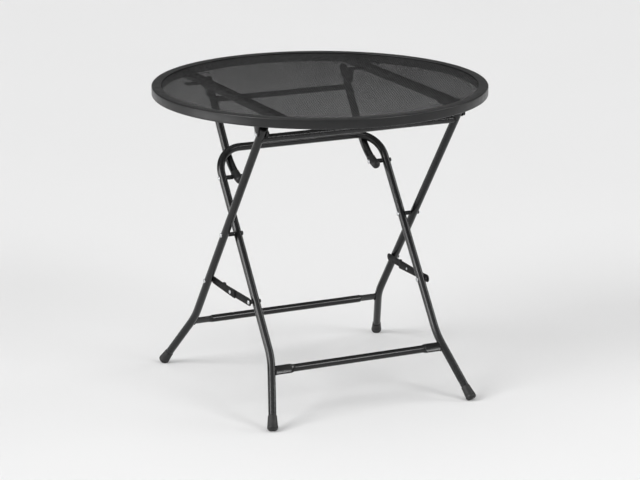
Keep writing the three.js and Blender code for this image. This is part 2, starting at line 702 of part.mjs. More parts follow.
const rimSection = roundedRectangle(
  rimInnerRadius, TOP_RADIUS, TOP_HEIGHT - RIM_DEPTH, TOP_HEIGHT, RIM_CORNER, 2);
const rim = new THREE.LatheGeometry([...rimSection, rimSection[0]], ROUND_SIDES).rotateX(Math.PI / 2);
addMesh(top, 'rim', rim, BLACK_PAINT);

const panel = new THREE.CylinderGeometry(
  rimInnerRadius - GAP, rimInnerRadius - GAP, MESH_THICKNESS, ROUND_SIDES).rotateX(Math.PI / 2);
addMesh(top, 'mesh_panel', panel, MESH_PAINT)
  .position.set(0, 0, TOP_HEIGHT - MESH_RECESS - MESH_THICKNESS / 2);

const insideRim = new THREE.CylinderGeometry(
  rimInnerRadius - GAP, rimInnerRadius - GAP, 2 * RIM_DEPTH, ROUND_SIDES)
  .rotateX(Math.PI / 2)
  .translate(0, 0, TOP_HEIGHT - RIM_DEPTH / 2);

for (const { name, sign } of SIDES) {
  const section = roundedRectangle(
    sign * RAIL_X - RAIL_WIDTH / 2, sign * RAIL_X + RAIL_WIDTH / 2, railBottom, railTop, RAIL_CORNER, 2);
  const bar = new THREE.ExtrudeGeometry(new THREE.Shape(section), {
    depth: 2 * TOP_RADIUS, bevelEnabled: false,
  }).rotateX(Math.PI / 2).translate(0, TOP_RADIUS, 0);
  addMesh(top, `rail_${name}`, common(bar, insideRim), BLACK_PAINT);
}

// A hanging ear in the side view: round at its pivot, straight up to its top edge
function earOutline(pivot, radius, upperHalfWidth, topEdge) {
  const outline = new THREE.Shape();
  outline.absarc(pivot.y, pivot.z, radius, Math.PI, 2 * Math.PI, false);
  outline.lineTo(pivot.y + upperHalfWidth, topEdge);
  outline.lineTo(pivot.y - upperHalfWidth, topEdge);
  return outline;
}

for (const { name, sign } of SIDES) {
  const span = (from, to) => [Math.min(sign * from, sign * to), Math.max(sign * from, sign * to)];
  const plateOver = (from, to, y, halfLength) => {
    const [low, high] = span(from, to);
    return block([low, y - halfLength, bracketTop - BRACKET_THICKNESS], [high, y + halfLength, bracketTop]);
  };

  const ear = (from) => plate(
    earOutline(FRONT_PIVOT, FRONT_EAR_RADIUS, FRONT_PLATE_LENGTH / 2, bracketTop - BRACKET_THICKNESS / 2),
    ...span(from, from + FRONT_EAR_THICKNESS));
  const frontHole = rodAt(FRONT_PIVOT, ...span(RAIL_X, FRONT_EAR_OUTER + RIM_WIDTH), SHANK_RADIUS + GAP);
  const frontBracket = joined(
    ear(FRONT_EAR_INNER),
    ear(FRONT_EAR_OUTER - FRONT_EAR_THICKNESS),
    plateOver(RAIL_X - RAIL_WIDTH / 2, FRONT_EAR_OUTER, FRONT_PIVOT.y, FRONT_PLATE_LENGTH / 2));
  addMesh(top, `front_bracket_${name}`, without(frontBracket, frontHole), BLACK_PAINT);

  const rearPlate = plate(
    earOutline(REAR_PIVOT, REAR_PLATE_RADIUS, REAR_PLATE_RADIUS, bracketTop - BRACKET_THICKNESS / 2),
    ...span(REAR_PLATE_X, REAR_PLATE_X + REAR_PLATE_THICKNESS));
  const rearBracket = joined(
    rearPlate, plateOver(REAR_PLATE_X, REAR_FLANGE_END, REAR_PIVOT.y, REAR_PLATE_RADIUS));
  const rearHole = rodAt(REAR_PIVOT, ...span(ARM_X, RAIL_X), SHANK_RADIUS + GAP);
  addMesh(top, `rear_bracket_${name}`, without(rearBracket, rearHole), BLACK_PAINT);

  // Front bolt ends: the head in one ear, the nut in the other, both stopping short of the leg
  const outsideFace = FRONT_EAR_OUTER + GAP;
  const insideFace = FRONT_EAR_INNER - GAP;
  const headFace = sign < 0 ? -outsideFace : insideFace;
  const nutFace = sign < 0 ? -insideFace : outsideFace;
  addMesh(top, `front_bolt_${name}`,
    boltGeometry(headFace, headFace + FRONT_EAR_THICKNESS, HEAD_RADIUS, SHANK_RADIUS), ZINC)
    .position.set(0, FRONT_PIVOT.y, FRONT_PIVOT.z);
  const nutEnd = joined(
    nutGeometry(nutFace, FRONT_NUT_HEIGHT, FRONT_NUT_RADIUS, SHANK_RADIUS - GAP),
    rodAlongX(nutFace - FRONT_EAR_THICKNESS, nutFace + FRONT_NUT_HEIGHT + FRONT_NUT_TIP, SHANK_RADIUS));
  addMesh(top, `front_nut_${name}`, nutEnd, DARK_STEEL)
    .position.set(0, FRONT_PIVOT.y, FRONT_PIVOT.z);
}

export default table;
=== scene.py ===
"""The looks of the folding side table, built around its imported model. Lengths are metres."""

import json
import math

import bmesh
import bpy
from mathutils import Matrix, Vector


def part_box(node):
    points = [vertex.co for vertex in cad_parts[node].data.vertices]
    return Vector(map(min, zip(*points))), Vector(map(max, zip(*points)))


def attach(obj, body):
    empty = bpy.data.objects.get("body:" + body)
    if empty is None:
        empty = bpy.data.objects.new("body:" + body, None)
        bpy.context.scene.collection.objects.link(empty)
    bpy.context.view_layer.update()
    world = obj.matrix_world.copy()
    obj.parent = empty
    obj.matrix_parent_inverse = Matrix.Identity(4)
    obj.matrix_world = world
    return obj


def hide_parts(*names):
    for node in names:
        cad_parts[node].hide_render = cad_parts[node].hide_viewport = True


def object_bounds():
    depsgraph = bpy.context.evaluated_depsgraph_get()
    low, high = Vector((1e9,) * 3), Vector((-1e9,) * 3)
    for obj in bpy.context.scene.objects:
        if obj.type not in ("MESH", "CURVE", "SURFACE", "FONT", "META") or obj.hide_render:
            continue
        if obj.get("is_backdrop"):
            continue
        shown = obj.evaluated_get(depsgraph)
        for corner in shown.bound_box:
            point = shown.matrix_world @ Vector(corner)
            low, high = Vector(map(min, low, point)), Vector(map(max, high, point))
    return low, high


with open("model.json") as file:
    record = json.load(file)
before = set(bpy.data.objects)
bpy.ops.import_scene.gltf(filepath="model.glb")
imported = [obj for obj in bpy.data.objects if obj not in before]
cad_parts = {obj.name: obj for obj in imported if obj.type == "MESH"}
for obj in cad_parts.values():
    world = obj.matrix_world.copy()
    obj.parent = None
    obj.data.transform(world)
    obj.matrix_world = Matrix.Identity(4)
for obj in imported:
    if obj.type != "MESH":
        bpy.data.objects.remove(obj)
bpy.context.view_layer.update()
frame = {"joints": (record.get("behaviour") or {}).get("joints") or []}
scene = bpy.context.scene

# ---------------------------------------------------------------- Sizes that the boxes don't give

KNEE_DOWN_LEG = 0.3044  # from the cross bolt, along the straight leg
KNEE_RADIUS = 0.200
OUTER_FOOT_X = 0.2854
INNER_FOOT_X = 0.2503
BOW_UP_LEG = 0.2102
BOW_RADIUS = 0.061
OUTER_BAR_DOWN = 0.3215
INNER_BAR_DOWN = 0.3335
OUTER_LEG_END = 0.364
LOWER_BAR_RADIUS = 0.0087
FLAT_LENGTH = 0.038
FLAT_BLEND = 0.010
FLAT_HALF_WIDTH = 0.0108
FLAT_HALF_THICKNESS = 0.0032
ARM_TOP = Vector((0, 0.2397, 0.6838))
ARM_BEND_START = Vector((0, 0.1399, 0.5413))
ARM_BEND_RADIUS = 0.145
ARM_BEND_ANGLE = math.radians(42)
ARM_CAP_ANGLE = math.radians(14.5)
ARM_CAP_RADIUS = 0.0098
CLEARANCE = 0.0003
LEG_IN_FOOT = 0.0125
LEG_END_DEPTH = 0.0018  # taken off the top end of an outer leg, for its rounding
BEAD_COUNT = 9  # small weld beads in a row
RIM_WIDTH = 0.022
AXIS_RADIUS = 1e-5  # closes a turned profile on its axis
ROUND_STEPS = 40
BEND_STEP = math.radians(3)
SIDES = (("left", -1), ("right", 1))


def hinge(name):
    """Where a joint's axis crosses the side view."""
    found = [j for j in frame["joints"] if j["name"] == name][0]
    return Vector((0, found["pos_m"][1], found["pos_m"][2]))


def middle(node):
    low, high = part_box(node)
    return (low + high) / 2


CROSS = hinge("leg_fold")
ARM_PIVOT = hinge("arm_swing")
REAR_PIVOT = hinge("top_tilt")
OUTER_STAY = hinge("stay_outer_fold_left")
INNER_STAY = hinge("stay_inner_fold_left")
FRONT_PIVOT = middle("front_bolt_left") * Vector((0, 1, 1))
STAY_MIDDLE = middle("stay_rivet_outer_left") * Vector((0, 1, 1))
TUBE_RADIUS = (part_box("outer_top_bar")[1].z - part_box("outer_top_bar")[0].z) / 2
OUTER_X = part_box("outer_leg_right")[0].x + TUBE_RADIUS
INNER_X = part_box("arm_nut_right")[0].x - TUBE_RADIUS - CLEARANCE
ARM_X = middle("arm_right").x
OUTER_UP = (CROSS - OUTER_STAY).normalized()
INNER_UP = (CROSS - INNER_STAY).normalized()

# ---------------------------------------------------------------- Mesh code


class Shape:
    """Vertices and faces that end up in one piece."""

    def __init__(self):
        self.points = []
        self.faces = []

    def add_rings(self, rings, close_start=True, close_end=True, loop=False):
        """Joins rings of equal length into a skin."""
        base = len(self.points)
        count = len(rings[0])
        for ring in rings:
            self.points.extend(ring)
        spans = len(rings) if loop else len(rings) - 1
        for i in range(spans):
            here = base + i * count
            there = base + ((i + 1) % len(rings)) * count
            for k in range(count):
                n = (k + 1) % count
                self.faces.append((here + k, here + n, there + n, there + k))
        if not loop and close_start:
            self.faces.append(tuple(base + k for k in reversed(range(count))))
        if not loop and close_end:
            last = base + (len(rings) - 1) * count
            self.faces.append(tuple(last + k for k in range(count)))
        return self


def circle(centre, across, up, radius, sides=ROUND_STEPS, radius_up=None):
    radius_up = radius if radius_up is None else radius_up
    ring = []
    for k in range(sides):
        angle = 2 * math.pi * k / sides
        ring.append(centre + across * (radius * math.cos(angle)) + up * (radius_up * math.sin(angle)))
    return ring


def bent_path(corners, radii, step=BEND_STEP):
    """Straight runs between corners, each corner rounded by its bend radius."""
    stations = [corners[0].copy()]
    for i in range(1, len(corners) - 1):
        inward = (corners[i] - corners[i - 1]).normalized()
        onward = (corners[i + 1] - corners[i]).normalized()
        turn = inward.angle(onward)
        to_centre = (onward - inward * onward.dot(inward)).normalized()
        start = corners[i] - inward * (radii[i - 1] * math.tan(turn / 2))
        steps = max(2, math.ceil(turn / step))
        for k in range(steps + 1):
            angle = turn * k / steps
            stations.append(
                start
                + inward * (radii[i - 1] * math.sin(angle))
                + to_centre * (radii[i - 1] * (1 - math.cos(angle)))
            )
    stations.append(corners[-1].copy())
    return stations


def path_frames(stations):
    """A direction, a side and an up vector at each station, without twist."""
    tangents = []
    for i, here in enumerate(stations):
        before = stations[max(i - 1, 0)]
        after = stations[min(i + 1, len(stations) - 1)]
        arriving = (here - before).normalized() if i else (after - here).normalized()
        leaving = (after - here).normalized() if i < len(stations) - 1 else arriving
        tangents.append((arriving + leaving).normalized())
    guess = Vector((1, 0, 0)) if abs(tangents[0].x) < 0.9 else Vector((0, 0, 1))
    side = (guess - tangents[0] * guess.dot(tangents[0])).normalized()
    frames = []
    for i, tangent in enumerate(tangents):
        if i:
            side = tangents[i - 1].rotation_difference(tangent) @ side
            side = (side - tangent * side.dot(tangent)).normalized()
        frames.append((tangent, side, tangent.cross(side)))
    return frames


def add_tube(shape, stations, radius, sides=ROUND_STEPS, round_start=0.0, round_end=0.0):
    """A tube along the stations. A rounded end draws in over that share of its radius."""
    frames = path_frames(stations)
    rings = []
    quarter = 6
    for k in range(quarter if round_start else 0):
        angle = math.pi / 2 * k / quarter
        tangent, side, up = frames[0]
        depth = radius * round_start
        centre = stations[0] - tangent * (depth * math.cos(angle))
        rings.append(circle(centre, side, up, radius - depth + depth * math.sin(angle), sides))
    for station, (_, side, up) in zip(stations, frames):
        rings.append(circle(station, side, up, radius, sides))
    for k in range(quarter - 1 if round_end else -1, -1, -1):
        angle = math.pi / 2 * k / quarter
        tangent, side, up = frames[-1]
        depth = radius * round_end
        centre = stations[-1] + tangent * (depth * math.cos(angle))
        rings.append(circle(centre, side, up, radius - depth + depth * math.sin(angle), sides))
    return shape.add_rings(rings)


def add_turned(shape, profile, origin, direction, sides=ROUND_STEPS):
    """A profile of (along, radius) points turned about a direction."""
    direction = direction.normalized()
    helper = Vector((0, 0, 1)) if abs(direction.z) < 0.9 else Vector((0, 1, 0))
    side = direction.cross(helper).normalized()
    up = direction.cross(side)
    rings = [circle(origin + direction * a, side, up, max(r, AXIS_RADIUS), sides) for a, r in profile]
    return shape.add_rings(rings)


def inset(outline, distance):
    """The outline, in the side view, drawn in by a small distance."""
    count = len(outline)
    area = sum(
        outline[i].y * outline[(i + 1) % count].z - outline[(i + 1) % count].y * outline[i].z
        for i in range(count)
    )
    turn = 1 if area > 0 else -1
    drawn = []
    for i, here in enumerate(outline):
        a = (here - outline[i - 1]).normalized()
        b = (outline[(i + 1) % count] - here).normalized()
        along = (a + b).normalized()
        drawn.append(here + Vector((0, -along.z, along.y)) * (distance * turn))
    return drawn


def add_plate(shape, outline, x_from, x_to, bevel=0.0005):
    """A flat plate across X with softened edges."""
    low, high = sorted((x_from, x_to))
    drawn = inset(outline, bevel)
    half = inset(outline, bevel * 0.3)
    levels = (
        (low, drawn), (low + bevel * 0.3, half), (low + bevel, outline),
        (high - bevel, outline), (high - bevel * 0.3, half), (high, drawn),
    )
    rings = [[p + Vector((x, 0, 0)) for p in ring] for x, ring in levels]
    return shape.add_rings(rings)


def add_block(shape, low, high, radius=0.0006, axis=0, steps=3):
    """A block with rounded long edges, running along one axis."""
    first, second = [i for i in range(3) if i != axis]
    corners = [
        (high[first], low[second], -1, 1), (high[first], high[second], -1, -1),
        (low[first], high[second], 1, -1), (low[first], low[second], 1, 1),
    ]
    rings = []
    for along, draw in ((low[axis], radius * 0.6), (low[axis] + radius * 0.6, 0),
                        (high[axis] - radius * 0.6, 0), (high[axis], radius * 0.6)):
        ring = []
        for quarter, (a, b, in_a, in_b) in enumerate(corners):
            for k in range(steps + 1):
                angle = (quarter - 1 + k / steps) * math.pi / 2
                point = [0.0, 0.0, 0.0]
                point[axis] = along
                point[first] = a + radius * (in_a + math.cos(angle)) + in_a * draw
                point[second] = b + radius * (in_b + math.sin(angle)) + in_b * draw
                ring.append(Vector(point))
        rings.append(ring)
    return shape.add_rings(rings)


# ---------------------------------------------------------------- Materials


def node_material(name):
    material = bpy.data.materials.new(name)
    material.use_nodes = True
    nodes = material.node_tree.nodes
    nodes.clear()
    output = nodes.new("ShaderNodeOutputMaterial")
    shader = nodes.new("ShaderNodeBsdfPrincipled")
    material.node_tree.links.new(shader.outputs["BSDF"], output.inputs["Surface"])
    return material, nodes, material.node_tree.links, shader


def noise(nodes, links, vector, scale, detail=3.0, roughness=0.55):
    texture = nodes.new("ShaderNodeTexNoise")
    texture.inputs["Scale"].default_value = scale
    texture.inputs["Detail"].default_value = detail
    texture.inputs["Roughness"].default_value = roughness
    links.new(vector, texture.inputs["Vector"])
    return texture.outputs["Fac"]


def remap(nodes, links, value, from_low, from_high, to_low, to_high):
    node = nodes.new("ShaderNodeMapRange")
    node.inputs["From Min"].default_value = from_low
    node.inputs["From Max"].default_value = from_high
    node.inputs["To Min"].default_value = to_low
    node.inputs["To Max"].default_value = to_high
    links.new(value, node.inputs["Value"])
    return node.outputs["Result"]


def mix_colour(nodes, links, amount, first, second):
    node = nodes.new("ShaderNodeMix")
    node.data_type = "RGBA"
    links.new(amount, node.inputs["Factor"])
    for socket, value in ((node.inputs["A"], first), (node.inputs["B"], second)):
        if isinstance(value, tuple):
            socket.default_value = (*value, 1)
        else:
            links.new(value, socket)
    return node.outputs["Result"]


def multiply(nodes, links, first, second):
    node = nodes.new("ShaderNodeMath")
    node.operation = "MULTIPLY"
    links.new(first, node.inputs[0])
    links.new(second, node.inputs[1])
    return node.outputs["Value"]


def bump(nodes, links, shader, height, strength, distance):
    node = nodes.new("ShaderNodeBump")
    node.inputs["Strength"].default_value = strength
    node.inputs["Distance"].default_value = distance
    links.new(height, node.inputs["Height"])
    links.new(node.outputs["Normal"], shader.inputs["Normal"])


def powder_coat(name, dark, light, rough_low, rough_high, grain=1100, strength=0.1, wear=0.5, specular=0.38):
    """Textured black paint: fine grain, cloudy tone, and edges rubbed a little paler."""
    material, nodes, links, shader = node_material(name)
    place = nodes.new("ShaderNodeTexCoord").outputs["Object"]
    cloud = remap(nodes, links, noise(nodes, links, place, 18, 4), 0.35, 0.65, 0, 1)
    tone = mix_colour(nodes, links, cloud, dark, light)
    fleck = remap(nodes, links, noise(nodes, links, place, 900, 1), 0.66, 0.72, 0, 0.5)
    tone = mix_colour(nodes, links, fleck, tone, tuple(min(1, c * 2.6) for c in light))
    edge = nodes.new("ShaderNodeNewGeometry").outputs["Pointiness"]
    edge = remap(nodes, links, edge, 0.53, 0.62, 0, wear)
    rub = remap(nodes, links, noise(nodes, links, place, 160, 3), 0.45, 0.6, 0, 1)
    worn = multiply(nodes, links, edge, rub)
    tone = mix_colour(nodes, links, worn, tone, tuple(min(1, c * 5) for c in light))
    links.new(tone, shader.inputs["Base Color"])
    sheen = noise(nodes, links, place, 70, 3)
    links.new(remap(nodes, links, sheen, 0.3, 0.7, rough_low, rough_high), shader.inputs["Roughness"])
    bump(nodes, links, shader, noise(nodes, links, place, grain, 2), strength, 0.00025)
    shader.inputs["Specular IOR Level"].default_value = specular
    return material


def moulded(name, dark, light, rough_low, rough_high, grain, strength):
    """Moulded rubber or plastic: fine matt texture with a little dust in it."""
    material, nodes, links, shader = node_material(name)
    place = nodes.new("ShaderNodeTexCoord").outputs["Object"]
    dust = remap(nodes, links, noise(nodes, links, place, 55, 5, 0.65), 0.45, 0.75, 0, 1)
    links.new(mix_colour(nodes, links, dust, dark, light), shader.inputs["Base Color"])
    sheen = noise(nodes, links, place, 120, 3)
    links.new(remap(nodes, links, sheen, 0.3, 0.7, rough_low, rough_high), shader.inputs["Roughness"])
    bump(nodes, links, shader, noise(nodes, links, place, grain, 3), strength, 0.0003)
    return material


def plated(name, dark, light, rough_low, rough_high, metallic):
    """Plated steel: a fine grain, cloudy plating, and duller patches."""
    material, nodes, links, shader = node_material(name)
    place = nodes.new("ShaderNodeTexCoord").outputs["Object"]
    cloud = remap(nodes, links, noise(nodes, links, place, 240, 4), 0.35, 0.65, 0, 1)
    links.new(mix_colour(nodes, links, cloud, dark, light), shader.inputs["Base Color"])
    shader.inputs["Metallic"].default_value = metallic
    sheen = noise(nodes, links, place, 420, 3)
    links.new(remap(nodes, links, sheen, 0.3, 0.7, rough_low, rough_high), shader.inputs["Roughness"])
    bump(nodes, links, shader, noise(nodes, links, place, 1800, 2), 0.15, 0.0001)
    return material


PAINT = powder_coat("frame_paint", (0.0065, 0.0066, 0.0068), (0.0095, 0.0096, 0.0099), 0.17, 0.24)
STAY_PAINT = powder_coat("stay_paint", (0.0065, 0.0066, 0.0068), (0.0095, 0.0096, 0.0099), 0.45, 0.6, specular=0.12)
SLEEVE = powder_coat("sleeve_paint", (0.005, 0.005, 0.0052), (0.008, 0.008, 0.0082), 0.35, 0.45, specular=0.2)
RIM_PAINT = powder_coat("rim_paint", (0.008, 0.0081, 0.0083), (0.012, 0.0121, 0.0124), 0.29, 0.38)
MESH_PAINT = powder_coat("mesh_paint", (0.007, 0.007, 0.0072), (0.011, 0.011, 0.0113), 0.6, 0.75, 2500, 0.1, 0.2, 0.3)
RUBBER = moulded("foot_rubber", (0.005, 0.005, 0.005), (0.013, 0.0128, 0.0125), 0.42, 0.62, 1400, 0.2)
PLASTIC = moulded("end_cap_plastic", (0.007, 0.007, 0.0072), (0.014, 0.014, 0.014), 0.4, 0.55, 2200, 0.15)
ZINC = plated("zinc_hardware", (0.5, 0.51, 0.53), (0.74, 0.75, 0.76), 0.2, 0.36, 1.0)
# Near-black hardware: its dark colour is painted shade, for the plated parts on the shaded +X side and in the shaded
# joints
PAINTED_SHADE_HARDWARE = plated("dark_hardware", (0.008, 0.008, 0.0085), (0.018, 0.018, 0.019), 0.4, 0.6, 0.3)

# ---------------------------------------------------------------- Pieces


def make(name, shape, material, body, nodes=(), sharp=38):
    mesh = bpy.data.meshes.new(name)
    mesh.from_pydata([tuple(p) for p in shape.points], [], shape.faces)
    mesh.validate()
    mesh.update()
    piece = bpy.data.objects.new(name, mesh)
    bpy.context.scene.collection.objects.link(piece)
    tidy_mesh(mesh)
    mesh.materials.append(material)
    mesh.shade_smooth()
    mesh.set_sharp_from_angle(angle=math.radians(sharp))
    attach(piece, body)
    if nodes:
        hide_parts(*nodes)
    return piece


def tidy_mesh(mesh):
    """Merges doubled points and turns all faces outward."""
    work = bmesh.new()
    work.from_mesh(mesh)
    bmesh.ops.remove_doubles(work, verts=work.verts, dist=1e-6)
    bmesh.ops.recalc_face_normals(work, faces=work.faces)
    work.to_mesh(mesh)
    work.free()


def outer_point(x, up_leg):
    return CROSS + OUTER_UP * up_leg + Vector((x, 0, 0))


def inner_point(x, up_leg):
    return CROSS + INNER_UP * up_leg + Vector((x, 0, 0))


def floor_distance(up):
    return -CROSS.z / up.z


def leg_end_inside_foot(stations, at_start):
    """Stops a leg a little way up inside its foot."""
    end, beside = (0, 1) if at_start else (-1, -2)
    stations[end] = stations[end] + (stations[beside] - stations[end]).normalized() * LEG_IN_FOOT


def weld_bead(shape, centre, direction, radius, leg_radius, leg_direction, size=0.0016, waves=22):
    """A rippled fillet where a tube is welded square to a leg."""
    direction = direction.normalized()
    across = leg_direction.normalized()
    out = direction.cross(across).normalized()
    count = waves * 4
    section = 8
    rings = []
    for i in range(count):
        angle = 2 * math.pi * i / count
        sideways = radius * math.sin(angle)
        sag = leg_radius - math.sqrt(max(leg_radius**2 - min(abs(sideways), leg_radius * 0.98) ** 2, 0))
        spot = centre + across * (radius * math.cos(angle)) + out * sideways + direction * sag
        outward = (across * math.cos(angle) + out * math.sin(angle)).normalized()
        thick = size * (1 + 0.14 * math.cos(waves * angle))
        ring = []
        for k in range(section):
            turn = 2 * math.pi * k / section
            ring.append(spot + outward * (thick * math.cos(turn)) + direction * (thick * math.sin(turn)))
        rings.append(ring)
    return shape.add_rings(rings, loop=True)


# ---- Legs

for side, sign in SIDES:
    stations = bent_path(
        [
            outer_point(sign * OUTER_X, OUTER_LEG_END),
            outer_point(sign * OUTER_X, -KNEE_DOWN_LEG),
            outer_point(sign * OUTER_FOOT_X, floor_distance(OUTER_UP)),
        ],
        [KNEE_RADIUS],
    )
    leg_end_inside_foot(stations, False)
    stations[0] = stations[0] - OUTER_UP * LEG_END_DEPTH
    leg = add_tube(Shape(), stations, TUBE_RADIUS, round_start=0.2)
    make(f"leg_tube_outer_{side}", leg, PAINT, "outer_legs", [f"outer_leg_{side}"])

stations = bent_path(
    [
        inner_point(-INNER_FOOT_X, floor_distance(INNER_UP)),
        inner_point(-INNER_X, -KNEE_DOWN_LEG),
        inner_point(-INNER_X, BOW_UP_LEG),
        inner_point(INNER_X, BOW_UP_LEG),
        inner_point(INNER_X, -KNEE_DOWN_LEG),
        inner_point(INNER_FOOT_X, floor_distance(INNER_UP)),
    ],
    [KNEE_RADIUS, BOW_RADIUS, BOW_RADIUS, KNEE_RADIUS],
)
leg_end_inside_foot(stations, True)
leg_end_inside_foot(stations, False)
make("leg_tube_inner", add_tube(Shape(), stations, TUBE_RADIUS), PAINT, "inner_legs", ["inner_frame"])

# ---- Straight bars between the legs


def add_bar(shape, centre, half_length, radius):
    ends = [centre - Vector((half_length, 0, 0)), centre + Vector((half_length, 0, 0))]
    return add_tube(shape, ends, radius)


top_bar_centre = middle("outer_top_bar") * Vector((0, 1, 1))
top_bar = add_bar(Shape(), top_bar_centre, OUTER_X - TUBE_RADIUS * 0.5, TUBE_RADIUS)
for _, sign in SIDES:
    weld_bead(top_bar, top_bar_centre + Vector((sign * (OUTER_X - TUBE_RADIUS), 0, 0)),
              Vector((sign, 0, 0)), TUBE_RADIUS, TUBE_RADIUS, OUTER_UP)
make("top_bar_tube", top_bar, PAINT, "outer_legs", ["outer_top_bar"])


def knee_x(straight_x, foot_x, up, down_leg):
    """Where a splayed leg's axis is, that far down the leg."""
    run = -floor_distance(up) - KNEE_DOWN_LEG
    return straight_x + (foot_x - straight_x) * max(down_leg - KNEE_DOWN_LEG, 0) / run


BAR_BEAD = [(-0.0014, 0.0002), (-0.0009, 0.0013), (0, 0.0018), (0.0009, 0.0013), (0.0014, 0.0002)]


def flattened_bar(name, point_at, up, straight_x, foot_x, down_leg, body, node):
    """A round bar whose ends are pressed flat in the plane of its frame and welded to the legs."""
    leg_x = knee_x(straight_x, foot_x, up, down_leg)
    half = leg_x - TUBE_RADIUS * 0.6
    flat_start = straight_x - FLAT_LENGTH
    out = Vector((1, 0, 0)).cross(up).normalized()
    centre = point_at(0, -down_leg)
    rings = []
    steps = 12
    levels = [(-half, 1.0)]
    levels += [
        (-flat_start + FLAT_BLEND * k / steps, 0.5 + 0.5 * math.cos(math.pi * k / steps))
        for k in range(steps + 1)
    ]
    levels += [(-x, flat) for x, flat in reversed(levels)]
    for x, flat in levels:
        wide = LOWER_BAR_RADIUS + (FLAT_HALF_WIDTH - LOWER_BAR_RADIUS) * flat
        thin = LOWER_BAR_RADIUS + (FLAT_HALF_THICKNESS - LOWER_BAR_RADIUS) * flat
        power = 1 - 0.45 * flat
        ring = []
        for k in range(ROUND_STEPS):
            angle = 2 * math.pi * k / ROUND_STEPS
            c, s = math.cos(angle), math.sin(angle)
            square = abs(s) ** power * (1 if s > 0 else -1)
            ring.append(centre + Vector((x, 0, 0)) + up * (wide * c) + out * (thin * square))
        rings.append(ring)
    bar = Shape().add_rings(rings)
    for _, sign in SIDES:
        spot = centre + Vector((sign * (leg_x - TUBE_RADIUS + 0.0006), 0, 0))
        for edge in (-1, 1):
            for k in range(BEAD_COUNT):
                share = 2 * k / (BEAD_COUNT - 1) - 1
                place = spot + up * (FLAT_HALF_WIDTH * 0.9 * share) + out * (edge * FLAT_HALF_THICKNESS)
                add_turned(bar, BAR_BEAD, place, up, 10)
    make(name, bar, PAINT, body, [node])


flattened_bar("lower_bar_outer", outer_point, OUTER_UP, OUTER_X, OUTER_FOOT_X, OUTER_BAR_DOWN,
              "outer_legs", "outer_lower_bar")
flattened_bar("lower_bar_inner", inner_point, INNER_UP, INNER_X, INNER_FOOT_X, INNER_BAR_DOWN,
              "inner_legs", "inner_lower_bar")

# ---- Feet

FOOT_PROFILE = [
    (0.0048, 0.0001), (0.005, 0.0080), (0.0054, 0.0089), (0.0064, 0.0102), (0.0078, 0.0114),
    (0.0092, 0.0121), (0.0106, 0.0123), (0.0125, 0.0122), (0.015, 0.0120), (0.0155, 0.0117), (0.016, 0.0118),
    (0.022, 0.0113), (0.028, 0.0108), (0.034, 0.0104), (0.0372, 0.0102), (0.0384, 0.0100),
    (0.039, 0.0095), (0.0388, 0.0091), (0.036, 0.0091), (0.013, 0.0091), (0.0125, 0.0001),
]


def cut_level(shape):
    """Raises every point that would be under the floor to its level."""
    for i, point in enumerate(shape.points):
        if point.z < 0:
            shape.points[i] = Vector((point.x, point.y, 0.0))


for prefix, up, foot_x, straight_x, point_at, body in (
    ("outer", OUTER_UP, OUTER_FOOT_X, OUTER_X, outer_point, "outer_legs"),
    ("inner", INNER_UP, INNER_FOOT_X, INNER_X, inner_point, "inner_legs"),
):
    for side, sign in SIDES:
        ground = point_at(sign * foot_x, floor_distance(up))
        direction = point_at(sign * straight_x, -KNEE_DOWN_LEG) - ground
        foot = add_turned(Shape(), FOOT_PROFILE, ground, direction, 48)
        cut_level(foot)
        make(f"rubber_foot_{prefix}_{side}", foot, RUBBER, body, [f"foot_{prefix}_{side}"], 30)

# ---- Fasteners

X_AXIS = Vector((1, 0, 0))
HEAD_HEIGHT = 0.0026
EAR_THICKNESS = 0.0025
SHANK_RADIUS = 0.003
HEAD_RADIUS = 0.0045
NUT_ACROSS, NUT_HEIGHT, NUT_TIP = 0.0053, 0.003, 0.0006
FRONT_NUT_ACROSS, FRONT_NUT_HEIGHT, FRONT_NUT_TIP = 0.0066, 0.0048, 0.0012
SLEEVE_BORE = 0.0033
SLEEVE_EDGE = 0.0004
NUT_TURNS = {"cross": 11, "arm": 38, "rear": 23, "front": 47}


def dome_head(shape, face, pivot, radius, height, towards):
    """A domed head on a thin washer. It stands out from its face towards -1 or 1 along X."""
    washer = 0.0008
    profile = [(0, radius * 1.16), (washer * 0.8, radius * 1.16), (washer, radius * 1.1), (washer, radius)]
    profile += [(washer + 0.0006, radius)]
    for k in range(1, 9):
        angle = math.pi / 2 * k / 8
        profile.append((washer + 0.0006 + (height - washer - 0.0006) * math.sin(angle), radius * math.cos(angle)))
    origin = pivot + X_AXIS * face
    return add_turned(shape, [(0, AXIS_RADIUS)] + profile, origin, X_AXIS * towards)


def hex_nut(shape, face, pivot, across, height, towards, turn, tip=0.0016, bore=0.003):
    """A chamfered hexagonal nut with a collar and the end of its bolt."""
    direction = X_AXIS * towards
    origin = pivot + X_AXIS * face
    rings = []
    for along, share in ((0, 0.93), (0.0005, 1), (height * 0.72, 1), (height * 0.82, 0.9)):
        ring = []
        for k in range(36):
            angle = 2 * math.pi * k / 36 + math.radians(turn)
            local = (angle - math.radians(turn)) % (math.pi / 3) - math.pi / 6
            corner = across * math.cos(math.pi / 6) / math.cos(local)
            radius = min(corner, across * (0.86 + 0.14 * share) if share < 1 else corner)
            ring.append(origin + direction * along + Vector((0, math.cos(angle), math.sin(angle))) * radius)
        rings.append(ring)
    shape.add_rings(rings)
    collar = across * 0.74
    add_turned(shape, [(height * 0.8, collar), (height * 0.94, collar), (height, collar * 0.9),
                       (height, bore * 1.02), (height * 0.8, bore * 1.02)], origin, direction)
    threads = [(height * 0.8, bore * 0.98)]
    pitch = 0.0005
    for k in range(int((height * 0.2 + tip) / pitch)):
        threads += [
            (height * 0.8 + pitch * (k + 0.5), bore * 0.88), (height * 0.8 + pitch * (k + 1), bore * 0.98),
        ]
    threads += [(height + tip, bore * 0.8), (height + tip, AXIS_RADIUS)]
    return add_turned(shape, threads, origin, direction, 24)


